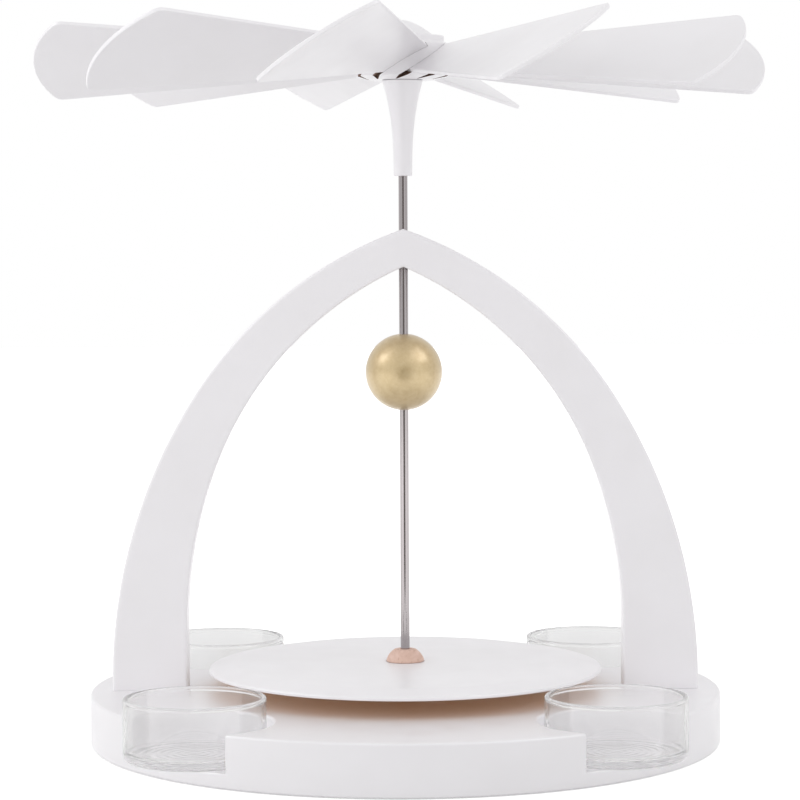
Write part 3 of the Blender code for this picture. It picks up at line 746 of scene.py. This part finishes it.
def makePlatter():
    low, high = layout["platterBottom"], layout["platterBottom"] + platter["thickness"]
    rim, start = platter["radius"], platter["radius"] - platter["shoulder"]
    nose, heel, count = platter["nose"], platter["heel"], platter["slopePoints"]
    fall = np.linspace(-platter["slopeStart"], nose - platter["shoulder"], count)
    slope = np.stack(
        [
            np.linspace(start + platter["slopeStart"], rim - nose, count),
            high + fall * platter["drop"] / (platter["shoulder"] - nose),
        ],
        -1,
    )[:-1]
    middle = (rim - nose, high - platter["drop"] - nose)
    front = arcPoints(middle, nose, platter["noseStart"], 0, platter["noseSteps"])
    foot = arcPoints((rim - heel, low + heel), heel, 0, -90, platter["heelSteps"])
    under = [(rim - heel - platter["margin"], low), (platter["middle"], low), (platter["bore"], low)]
    bore, seatRadius, seatLevel = platter["bore"], platter["seatRadius"], high - platter["seatDepth"]
    inside, outside = platter["seatSoft"]
    seat = roundedPath(
        [(bore, low, 0), (bore, seatLevel, 0), (seatRadius, seatLevel, inside),
         (seatRadius, high, outside), (start, high, 0)],
        4,
    )[1:-1]
    flat = [(seat[-1, 0] + platter["margin"], high), (platter["middle"], high)]
    crest = [(start + x, high + z) for x, z in platter["crest"]]
    profile = np.vstack([slope, front, foot, under, seat, flat, crest])
    mesh = turnedMesh("platterDisc", profile, platter["segments"])
    mesh.materials.append(whiteFinish)
    mesh.materials.append(underGlowFinish)
    centres = np.zeros(len(mesh.polygons) * 3, np.float32)
    mesh.polygons.foreach_get("center", centres)
    isUnder = centres.reshape(-1, 3)[:, 2] < (low + platter["hair"]) * milli
    mesh.polygons.foreach_set("material_index", isUnder.astype(np.int32))
    addPiece("platterDisc", mesh, [], "spindle", "platter")


# The button: a slice of a ball with a flat top, on a short upright foot. Its dome stops short of
# the two edges by a small angle, and the edges are broken.
button = {
    "radius": 8.4,
    "topRadius": 4.5,
    "bottom": 34.3,
    "height": 5.5,
    "foot": 0.7,
    "bore": 2.03,
    "boreChamfer": 0.25,
    "topEdge": ((-0.9, 0.0), (-0.35, -0.015), (0.05, -0.12)),
    "topTrim": 2.5,
    "footTrim": 1.5,
    "footInset": 0.04,
    "footStep": 0.1,
    "footChamfer": 0.15,
    "domeSteps": 20,
    "segments": 128,
}


def makeButton():
    r, topRadius, foot, bore = (button[key] for key in ("radius", "topRadius", "foot", "bore"))
    low, high = button["bottom"], button["bottom"] + button["height"]
    dome = button["height"] - foot
    depth = (r**2 - topRadius**2 - dome**2) / (2 * dome)
    topAngle = math.degrees(math.atan2(dome + depth, topRadius)) - button["topTrim"]
    footAngle = math.degrees(math.atan2(depth, r)) + button["footTrim"]
    middle = (0, low + foot - depth)
    side = arcPoints(middle, math.hypot(depth, r), topAngle, footAngle, button["domeSteps"])
    chamfer, step, wall = button["boreChamfer"], button["footStep"], r - button["footInset"]
    profile = np.vstack([
        [(bore, high - chamfer), (bore + chamfer, high)],
        [(topRadius + x, high + z) for x, z in button["topEdge"]],
        side,
        [(wall, low + foot - step), (wall, low + step)],
        [(r - button["footChamfer"], low), (bore, low)],
    ])
    mesh = turnedMesh("beechButton", profile, button["segments"])
    addPiece("beechButton", mesh, [beechFinish], "spindle", "platter_button")


# The boss that squares the platter to the shaft, hidden under it.
boss = {
    "radius": 8.5,
    "bottom": 26.3,
    "top": 30.3,
    "bore": 2.03,
    "chamfer": 0.5,
    "softTop": 0.2,
    "softFoot": 0.15,
    "segments": 96,
}


def makeBoss():
    r, c, low, high, soft = (
        boss[key] for key in ("radius", "chamfer", "bottom", "top", "softFoot")
    )
    profile = roundedPath(
        [(boss["bore"], high, 0), (r, high, boss["softTop"]), (r, low + c, soft),
         (r - c, low, soft), (boss["bore"], low, 0)],
        4,
    )
    mesh = turnedMesh("beechBoss", profile, boss["segments"])
    addPiece("beechBoss", mesh, [beechFinish], "spindle", "platter_boss")


# The ball: a sphere whose bore's edges are broken by a small chamfer.
ball = {
    "radius": 17.0,
    "centre": 163.6,
    "bore": 2.05,
    "chamfer": 0.35,
    "skinSteps": 72,
    "segments": 144,
}


def makeBall():
    r, bore, middle = ball["radius"], ball["bore"], ball["centre"]
    edge = math.degrees(math.acos((bore + ball["chamfer"]) / r))
    skin = arcPoints((0, middle), r, edge, -edge, ball["skinSteps"])
    inside = math.sqrt(r**2 - bore**2) - ball["chamfer"]
    profile = np.vstack([skin, [(bore, middle - inside), (bore, middle + inside)]])
    mesh = turnedMesh("goldBall", profile, ball["segments"])
    addPiece("goldBall", mesh, [goldFinish], "spindle", "ball")


makeShaft()
makePlatter()
makeButton()
makeBoss()
makeBall()
print("spindle made")


# The stem: a trumpet that widens with a power of the height, bored from below for the shaft, with a
# spigot on top for the hub.
stem = {
    "neck": 4.15,
    "flare": 4.9,
    "power": 2.6,
    "skinPoints": 61,
    "lip": ((-0.35, 0.0), (-0.1, -0.07)),
    "bore": 2.1,
    "boreEnd": 296.9,
    "boreChamfer": 0.3,
    "footStep": 0.6,
    "softFoot": 0.35,
    "spigot": 5.7,
    "spigotTop": 302.3,
    "spigotChamfer": 0.3,
    "segments": 128,
}


def makeStem():
    low, high = layout["stemBottom"], layout["stemTop"]
    neck, bore, end, c = (stem[key] for key in ("neck", "bore", "boreEnd", "boreChamfer"))
    share = np.linspace(1, 0, stem["skinPoints"])
    skin = np.stack([neck + stem["flare"] * share ** stem["power"], low + (high - low) * share], -1)
    lip = [(skin[0, 0] + x, high + z) for x, z in stem["lip"]]
    foot = roundedPath(
        [(neck, low + stem["footStep"], 0), (neck, low, stem["softFoot"]), (bore + c, low, 0),
         (bore, low + c, 0), (bore, end, 0), (0, end, 0)]
    )
    wide, top, chamfer = stem["spigot"], stem["spigotTop"], stem["spigotChamfer"]
    head = [(0, top), (wide - chamfer, top), (wide, top - chamfer), (wide, high)]
    profile = np.vstack([head, lip, skin[1:-1], foot])
    mesh = turnedMesh("wheelStem", profile, stem["segments"])
    addPiece("wheelStem", mesh, [whiteFinish], "wing_wheel", "wheel_stem")


# The hub: a turned body with a chamfered foot, a shoulder and a narrower collar, sawn with one
# slanted slot for each blade. The slots' walls are bare wood, coloured darker than under the platter
# as painted shade. Its outer edges are rounded by the soft radii, from the top down.
hub = {
    "radius": 20.4,
    "chamferWidth": 5.4,
    "chamferHeight": 1.5,
    "collarInset": 2.0,
    "collarHeight": 2.5,
    "shoulderHeight": 1.1,
    "soft": (0.3, 0.25, 0.35, 0.6, 0.5),
    "bore": 6.0,
    "coreRadius": 12.0,
    "slotWidth": 1.9,
    "slotLower": 10.4,
    "slotGap": 0.1,
    "sawReach": 4.0,
    "segments": 240,
}

# The blades: flat wings that widen unevenly from the slot to a bowed tip.
blade = {
    "count": 10,
    "firstBearing": 5.3,
    "tilt": 31.35,
    "rise": 0.92,
    "start": 12.3,
    "end": 151.3,
    "thickness": 1.8,
    "rootUpper": 17.1,
    "rootLower": 5.7,
    "tipHalf": 29.25,
    "bulge": 10.4,
    "corner": 2.8,
    "edge": 0.4,
    "faceMargin": 0.5,
    "sideGap": 0.05,
    "bowSteps": 48,
    "sidePoints": 14,
    "cornerPoints": 10,
    "edgeSteps": 5,
}


# Turns points from a blade's own frame (outwards, up the slope, off its face) into the object's:
# first by the tilt about the outward axis, then by the rise, then by the bearing, and up to the
# height at which the blade's plane meets the turning axis.
def onBladePlane(points, bearing):
    roll = turnMatrix(math.radians(blade["tilt"]), 0)
    pitch = turnMatrix(math.radians(-blade["rise"]), 1)
    yaw = turnMatrix(math.radians(bearing), 2)
    return points @ (yaw @ pitch @ roll).T + np.array([0, 0, layout["bladePlane"]])


def bladeBearings():
    return blade["firstBearing"] + 360.0 / blade["count"] * np.arange(blade["count"])


def makeHub():
    low, high, bore = layout["hubBottom"], layout["hubTop"], hub["bore"]
    r, collar = hub["radius"], hub["radius"] - hub["collarInset"]
    collarFoot = high - hub["collarHeight"]
    edges = [
        (collar, high), (collar, collarFoot), (r, collarFoot - hub["shoulderHeight"]),
        (r, low + hub["chamferHeight"]), (r - hub["chamferWidth"], low),
    ]
    rounded = [(*edge, soft) for edge, soft in zip(edges, hub["soft"])]
    profile = roundedPath([(bore, high, 0), *rounded, (bore, low, 0)], 6)
    blank = turnedMesh("wheelHub", profile, hub["segments"])
    blank.materials.append(whiteFinish)
    tools = []
    core, reach = hub["coreRadius"], r + hub["sawReach"]
    x = np.array([core, reach, reach, core])
    spread = (blade["tipHalf"] - blade["rootUpper"]) / (blade["end"] - r)
    upper = blade["rootUpper"] + spread * (x - r) + hub["slotGap"]
    y = np.where([False, False, True, True], upper, -hub["slotLower"])
    z = hub["slotWidth"] / 2
    for bearing in bladeBearings():
        block = np.stack([np.column_stack([x, y, np.full(4, side)]) for side in (z, -z)])
        tool = gridMesh("slotTool", onBladePlane(block, bearing), lids=True)
        # The slots' walls get the darker bare wood, painted shade in the slots.
        tool.materials.append(slotShadeFinish)
        tools.append(tool)
    mesh = cutMesh(blank, tools)
    addPiece("wheelHub", mesh, [], "wing_wheel", "wheel_hub")


# The cap: a low dome whose height falls with a power of the radius, with a softly broken rim.
cap = {
    "radius": 13.7,
    "height": 6.8,
    "power": 1.65,
    "domePoints": 49,
    "domeEnd": 0.55,
    "rim": ((-0.23, 0.33), (-0.08, 0.16), (-0.10, 0.04), (-0.20, 0.0)),
    "seat": 312.1,
    "spigot": 5.7,
    "spigotLength": 5.0,
    "spigotChamfer": 0.3,
    "segments": 144,
}


def makeCap():
    r, seat, wide, chamfer = (cap[key] for key in ("radius", "seat", "spigot", "spigotChamfer"))
    share = np.linspace(0, 1, cap["domePoints"])
    dome = np.stack([r * share, seat + cap["height"] * (1 - share ** cap["power"])], -1)
    keep = dome[dome[:, 1] > seat + cap["domeEnd"]]
    rim = np.array(cap["rim"]) + np.array([r, seat])
    end = seat - cap["spigotLength"]
    foot = [(wide, seat), (wide, end + chamfer), (wide - chamfer, end), (0, end)]
    mesh = turnedMesh("domedCap", np.vstack([keep, rim, foot]), cap["segments"])
    addPiece("domedCap", mesh, [whiteFinish], "wing_wheel", "hub_cap")


# A blade's outline in its own plane, all the way round: two straight sides that leave the root at
# different widths, corners drawn as parabolas between the side and the bow, and a bow that is an
# arc through both corners.
def bladeOutline():
    tip, bulge, end, start = (blade[key] for key in ("tipHalf", "bulge", "end", "start"))
    length = end - hub["radius"]
    bow = (tip**2 + bulge**2) / (2 * bulge)
    turn = math.degrees(math.asin(tip / bow) - blade["corner"] / bow)
    arc = arcPoints((end + bulge - bow, 0.0), bow, turn, -turn, blade["bowSteps"])

    def side(root, sign):
        spread = (tip - root) / length
        rootPoint = np.array([start, root - spread * (hub["radius"] - start)])
        leave = np.array([end - blade["corner"], tip - spread * blade["corner"]])
        meet = np.array([end, tip])
        t = np.linspace(0, 1, blade["cornerPoints"])[:, None]
        corner = (1 - t) ** 2 * leave + 2 * t * (1 - t) * meet + t**2 * arc[0]
        run = np.linspace(rootPoint, leave, blade["sidePoints"])[:-1]
        return np.vstack([run, corner[:-1]]) * np.array([1.0, sign])

    return np.vstack([side(blade["rootUpper"], 1.0), arc, side(blade["rootLower"], -1.0)[::-1]])


# A blade's grid: rows of the outline, drawn in along its own normal by the rounding of the edge on
# both faces, and closed by one flat face on each side.
def makeBlades():
    outline = bladeOutline()
    run = np.roll(outline, -1, 0) - np.roll(outline, 1, 0)
    run /= np.linalg.norm(run, axis=1, keepdims=True)
    out = np.stack([run[:, 1], -run[:, 0]], -1)
    if ((outline - outline.mean(0)) * out).sum() < 0:
        out = -out
    edge, half = blade["edge"], blade["thickness"] / 2
    bend = np.radians(np.linspace(0, 90, blade["edgeSteps"] + 1))
    inset = np.concatenate([[edge + blade["faceMargin"]], edge * (1 - np.sin(bend))])
    level = np.concatenate([[half], half - edge * (1 - np.cos(bend))])
    inset, level = np.concatenate([inset, inset[::-1]]), np.concatenate([level, -level[::-1]])
    flat = outline[None] - out[None] * (inset + blade["sideGap"])[:, None, None]
    local = np.concatenate([flat, np.broadcast_to(level[:, None, None], (*flat.shape[:2], 1))], -1)
    for number, bearing in enumerate(bladeBearings(), 1):
        name, node = f"wing{number:02d}", f"blade_{number:02d}"
        mesh = gridMesh(name, onBladePlane(local, bearing), lids=True)
        addPiece(name, mesh, [whiteFinish], "wing_wheel", node)


makeStem()
makeHub()
makeCap()
makeBlades()
print("wing wheel made")


# The tealight glasses: pressed cups with a full round lip, a thick floor and faint mould rings
# under it.
cup = {
    "radius": 30.0,
    "height": 26.2,
    "wall": 1.8,
    "floor": 3.0,
    "floorPoints": 16,
    "heel": 2.6,
    "heelSteps": 14,
    "innerRound": 2.2,
    "innerSteps": 12,
    "lip": 1.1,
    "lipSteps": 20,
    "stepBeside": 0.15,
    "bottom": 6.8,
    "underMargin": 0.8,
    "underFade": 1.5,
    "underRise": 0.25,
    "underPoints": 110,
    "ringStep": 3.4,
    "ringDepth": 0.05,
    "segments": 168,
    "sharp": 50.0,
    "places": {
        "front_left": (-1, -1), "front_right": (1, -1), "back_left": (-1, 1), "back_right": (1, 1),
    },
}


# A glass's profile, from the middle of its inside floor over the lip to the middle underneath. The
# underside is drawn up a little and carries rings, as the square of a cosine of the radius. A short
# step beside each bend keeps the long walls straight for the light that they bend.
def cupProfile():
    r, floor, top, lip = (cup[key] for key in ("radius", "floor", "height", "lip"))
    soft, heel, beside = (cup[key] for key in ("innerRound", "heel", "stepBeside"))
    inner = r - cup["wall"]
    radius = np.linspace(0, inner - soft, cup["floorPoints"])[:-1]
    inside = np.stack([radius, floor + 0.0 * radius], -1)
    corner = arcPoints((inner - soft, floor + soft), soft, -90, 0, cup["innerSteps"])
    lipStart = 360 - math.degrees(math.acos((inner - r + lip) / lip))
    over = arcPoints((r - lip, top - lip), lip, lipStart, 0, cup["lipSteps"])
    inwards = [(inner, floor + soft + beside), (inner, over[0, 1] - beside)]
    outwards = [(r, top - lip - beside), (r, heel + beside)]
    under = arcPoints((r - heel, heel), heel, 0, -90, cup["heelSteps"])
    edge = r - heel - cup["underMargin"]
    radius = np.linspace(edge, 0, cup["underPoints"])
    fade = np.clip((edge - radius) / cup["underFade"], 0, 1)
    rings = cup["ringDepth"] * np.cos(np.pi * radius / cup["ringStep"]) ** 2 * fade
    below = np.stack([radius, cup["underRise"] * fade + rings], -1)
    return np.vstack([inside, corner, inwards, over, outwards, under, below])


def makeCups():
    profile = cupProfile() + np.array([0.0, cup["bottom"]])
    ring = layout["pocketRing"] * math.sqrt(0.5)
    for place, (x, y) in cup["places"].items():
        name = "glass" + place.title().replace("_", "")
        mesh = turnedMesh(name, profile, cup["segments"], (x * ring, y * ring), cup["sharp"])
        addPiece(name, mesh, [glassFinish], f"cup_{place}", f"glass_cup_{place}")


makeCups()
print("glasses made")


# The small fittings keep their solids from the frame and get their finish here.
fittings = {"arch_bush": brassFinish, "pivot_socket": brassFinish, "pivot_cup": steelFinish}
for side in ("left", "right"):
    fittings[f"leg_screw_{side}"] = steelFinish
    for place in ("outer", "inner"):
        fittings[f"leg_dowel_{side}_{place}"] = beechFinish
for node, finish in fittings.items():
    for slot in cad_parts[node].material_slots:
        slot.material = finish
print("fittings finished")


# The studio: a pale floor that is coloured a little greyer round the object as painted shade, a
# white room, two large soft lamps at the sides and a smaller one in front that fills the shadows.
# Reflections
# see cards instead of the lamps: a white one at each side and a grey one before the object. A lamp
# is its place, its width and height and its power, and a white card is its place, its width and
# height and its brightness. The grey card runs along the floor from its near end to its far end, and
# up there; an end is half its width, its place and its height.
studio = {
    "floorSize": 8.0,
    "floorDrop": 0.0002,
    "floorRoughness": (0.9, 0.9),
    "floorPaintedShade": 0.70,
    # Painted shade: the floor's colour is greyer round the object.
    "floorFar": 0.95,
    "floorShadeReach": (0.20, 0.50),
    "floorGlow": 0.58,
    "hiddenByGlass": 0.80,
    "roomLight": 0.787,
    "lamps": {
        "softLampLeft": ((-1.45, -0.40, 0.62), (1.5, 1.0), 4.3),
        "softLampRight": ((1.45, -0.20, 0.62), (1.5, 1.0), 3.1),
        "softLampFront": ((-1.00, -1.50, 0.38), (1.6, 0.6), 2.8),
    },
    "aim": (0.0, 0.0, 0.16),
    "whiteCards": {
        "whiteCardLeft": ((-1.25, -0.04, 1.20), (1.0, 1.0), 3.3),
        "whiteCardRight": ((1.05, -0.42, 1.35), (1.0, 1.0), 3.0),
    },
    "whitePaper": (1.0, 0.98, 1.0),
    "greyPaper": (0.25, 0.23, 0.22),
    "greyNear": (0.15, -0.42, 0.0006),
    "greyFar": (0.85, -2.2, 1.0),
}


# How much of the white background a ray sees: all of it straight and in reflections, a part of it
# through glass, bent or straight, and nothing where the ray only carries light.
def shownRays(nodes):
    ray = nodes.add("LightPath").outputs
    seen = nodes.reckon("MAXIMUM", ray["Is Camera Ray"], ray["Is Glossy Ray"])
    behind = nodes.reckon("MAXIMUM", ray["Is Transmission Ray"], ray["Transparent Depth"])
    hidden = nodes.reckon("MULTIPLY", behind, studio["hiddenByGlass"])
    return nodes.reckon("SUBTRACT", seen, hidden)


# The directions to the right, up and back of something at this place that faces the aim
def facing(place):
    back = np.array(place) - np.array(studio["aim"])
    back /= np.linalg.norm(back)
    right = np.cross([0.0, 0.0, 1.0], back)
    right /= np.linalg.norm(right)
    return right, np.cross(back, right), back


# A glowing card that only reflections see
def addCard(name, corners, faces, colour, glow=1.0):
    mesh = bpy.data.meshes.new(name)
    mesh.from_pydata(corners, [], faces)
    card = addObject(name, mesh)
    card.visible_camera = card.visible_diffuse = False
    card.visible_transmission = card.visible_shadow = False
    paper = Finish(name, (0.0, 0.0, 0.0), (1.0, 1.0))
    paper.shade({
        "Specular IOR Level": 0.0, "Emission Color": (*colour, 1.0), "Emission Strength": glow,
    })
    mesh.materials.append(paper.material)


# The floor: its colour is greyer near the object as painted shade, and fades to pale with the
# distance from it; where it is seen it also glows, so that it is white in the picture.
def makeFloor():
    bpy.ops.mesh.primitive_plane_add(size=studio["floorSize"], location=(0, 0, -studio["floorDrop"]))
    floor = bpy.context.object
    floor.name = "paleFloor"
    paper = Finish("palePaper", white[:3], studio["floorRoughness"])
    away = paper.add("VectorMath", {0: paper.place}, operation="LENGTH").outputs["Value"]
    # Painted shade: the floor's colour is greyer near the object and paler beyond the reach.
    tones = (studio["floorPaintedShade"], studio["floorFar"])
    paper.shade({
        "Base Color": paper.span(away, *tones, *studio["floorShadeReach"]),
        "Emission Color": white,
        "Emission Strength": paper.reckon("MULTIPLY", shownRays(paper), studio["floorGlow"]),
    })
    floor.data.materials.append(paper.material)


# The room: it lights the object with one strength and is plain white where it is seen.
def makeRoom():
    scene.world = bpy.data.worlds.new("whiteRoom")
    nodes = Nodes(scene.world)
    light = nodes.tree.nodes["Background"]
    nodes.fill(light, {"Color": white, "Strength": studio["roomLight"]})
    shown = nodes.add("Background", {"Color": white, "Strength": 1.0})
    nodes.mixInto("World Output", shownRays(nodes), light, shown)


def makeLampsAndCards():
    for name, (place, size, power) in studio["lamps"].items():
        lamp = bpy.data.lights.new(name, "AREA")
        lamp.shape = "RECTANGLE"
        lamp.size, lamp.size_y = size
        lamp.energy = power
        holder = addObject(name, lamp)
        holder.location = place
        holder.visible_glossy = holder.visible_transmission = False
        back = facing(place)[2]
        holder.rotation_euler = (
            math.acos(back[2]), 0.0, math.atan2(back[1], back[0]) + math.pi / 2
        )

    for name, (place, size, glow) in studio["whiteCards"].items():
        right, up, back = facing(place)
        corners = [
            (np.array(place) + right * x * size[0] / 2 + up * y * size[1] / 2).tolist()
            for x, y in ((-1, -1), (1, -1), (1, 1), (-1, 1))
        ]
        addCard(name, corners, [(0, 1, 2, 3)], studio["whitePaper"], glow)
    (narrow, near, low), (wide, far, tall) = studio["greyNear"], studio["greyFar"]
    corners = [
        (-narrow, near, low), (narrow, near, low), (wide, far, low),
        (-wide, far, low), (-wide, far, tall), (wide, far, tall),
    ]
    addCard("greyCard", corners, [(0, 1, 2, 3), (3, 2, 5, 4)], studio["greyPaper"])


# The camera stands where the photograph was taken, a little above the ball and level with the hub.
# Its lens and sensor are in millimetres, and its three turns in radians.
camera = {
    "lens": 129.34,
    "sensor": 36.0,
    "reach": (0.05, 30.0),
    "place": (0.0, -1.275, 0.2305),
    "pitch": 0.0622,
    "roll": 0.0049,
    "yaw": 0.0014,
}


def makeCamera():
    data = bpy.data.cameras.new("photoCamera")
    data.sensor_width = camera["sensor"]
    data.lens = camera["lens"]
    data.clip_start, data.clip_end = camera["reach"]
    holder = addObject("photoCamera", data)
    holder.location = camera["place"]
    level = turnMatrix(math.pi / 2 - camera["pitch"], 0)
    way = turnMatrix(camera["yaw"], 2) @ level @ turnMatrix(-camera["roll"], 2)
    holder.rotation_euler = (
        math.atan2(way[2, 1], way[2, 2]), -math.asin(way[2, 0]), math.atan2(way[1, 0], way[0, 0])
    )
    scene.camera = holder


makeFloor()
makeRoom()
makeLampsAndCards()
makeCamera()
scene.view_settings.view_transform = "Standard"
print("studio and camera made")
